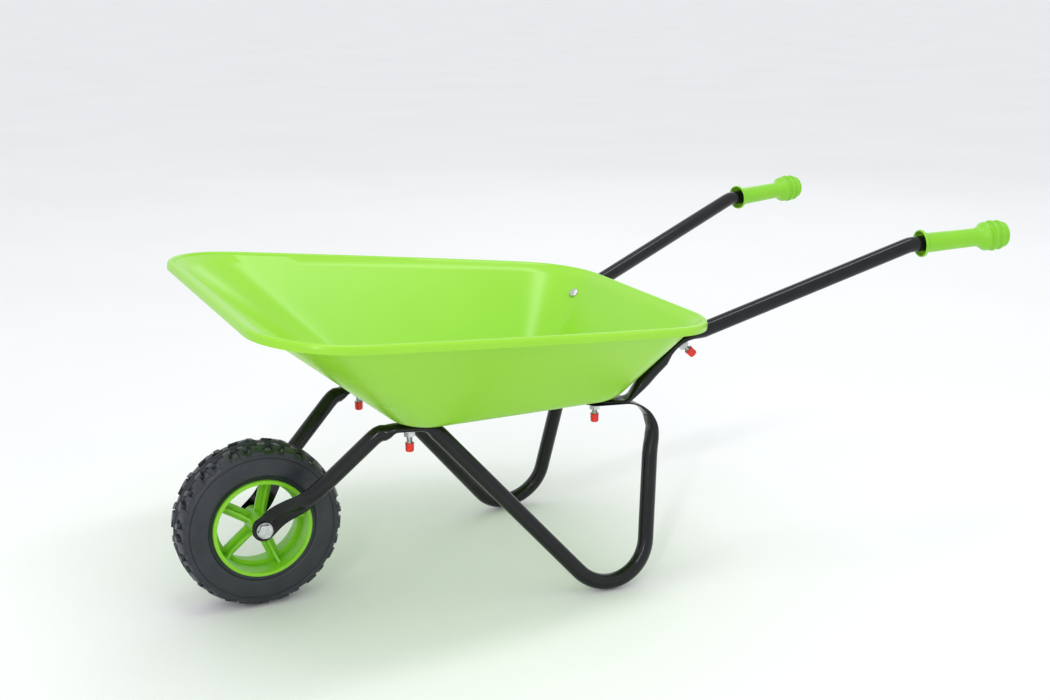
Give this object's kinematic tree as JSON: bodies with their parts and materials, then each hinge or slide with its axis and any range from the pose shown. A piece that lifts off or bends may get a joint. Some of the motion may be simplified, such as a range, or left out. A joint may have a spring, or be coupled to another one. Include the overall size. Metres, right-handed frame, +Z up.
{
  "type": "wheelbarrow",
  "caption": "Small children's wheelbarrow: pressed steel tray on a bent tube frame, one spoked wheel with a treaded tyre, looped legs and two handles with ringed grips.",
  "frame": {"origin": "on the floor, under the middle of the whole barrow (bottom centre of the bounding box)", "axes": "+X from the wheel towards the handles, +Y towards the user's right hand, +Z up"},
  "size_m": [0.8449, 0.4558, 0.3586],
  "materials": {
    "tray_green": "glossy light green enamel over pressed steel",
    "frame_black": "glossy black enamel over steel tube",
    "wheel_green": "moulded light green plastic, semi-gloss",
    "grip_green": "soft moulded light green plastic, semi-gloss",
    "tyre_black": "blown black plastic tyre, satin",
    "bush_black": "moulded black plastic",
    "zinc_steel": "bright zinc plated steel",
    "cap_red": "red dipped vinyl, glossy"
  },
  "bodies": {
    "chassis": {"tray": "tray_green", "leg_frame_left": "frame_black", "handle_tube_left": "frame_black", "grip_left": "grip_green", "leg_frame_right": "frame_black", "handle_tube_right": "frame_black", "grip_right": "grip_green", "bolt_floor_front_left": "zinc_steel", "washer_floor_front_left": "zinc_steel", "nut_floor_front_left": "zinc_steel", "cap_floor_front_left": "cap_red", "bolt_floor_front_right": "zinc_steel", "washer_floor_front_right": "zinc_steel", "nut_floor_front_right": "zinc_steel", "cap_floor_front_right": "cap_red", "bolt_floor_rear_left": "zinc_steel", "washer_floor_rear_left": "zinc_steel", "nut_floor_rear_left": "zinc_steel", "cap_floor_rear_left": "cap_red", "bolt_floor_rear_right": "zinc_steel", "washer_floor_rear_right": "zinc_steel", "nut_floor_rear_right": "zinc_steel", "cap_floor_rear_right": "cap_red", "bolt_wall_rear_left": "zinc_steel", "washer_wall_rear_left": "zinc_steel", "nut_wall_rear_left": "zinc_steel", "cap_wall_rear_left": "cap_red", "bolt_wall_rear_right": "zinc_steel", "washer_wall_rear_right": "zinc_steel", "nut_wall_rear_right": "zinc_steel", "cap_wall_rear_right": "cap_red", "axle_bolt": "zinc_steel", "axle_nut": "zinc_steel", "axle_washer_left": "zinc_steel", "axle_washer_right": "zinc_steel", "axle_spacer_left": "bush_black", "axle_spacer_right": "bush_black"},
    "wheel": {"wheel_rim": "wheel_green", "tyre": "tyre_black", "hub_bush_left": "bush_black", "hub_bush_right": "bush_black"}
  },
  "joints": [
    {"name": "wheel_spin", "type": "hinge", "parent": "chassis", "child": "wheel", "pos_m": [-0.33945, 0, 0.083], "axis": [0, 1, 0], "continuous": true}
  ]
}
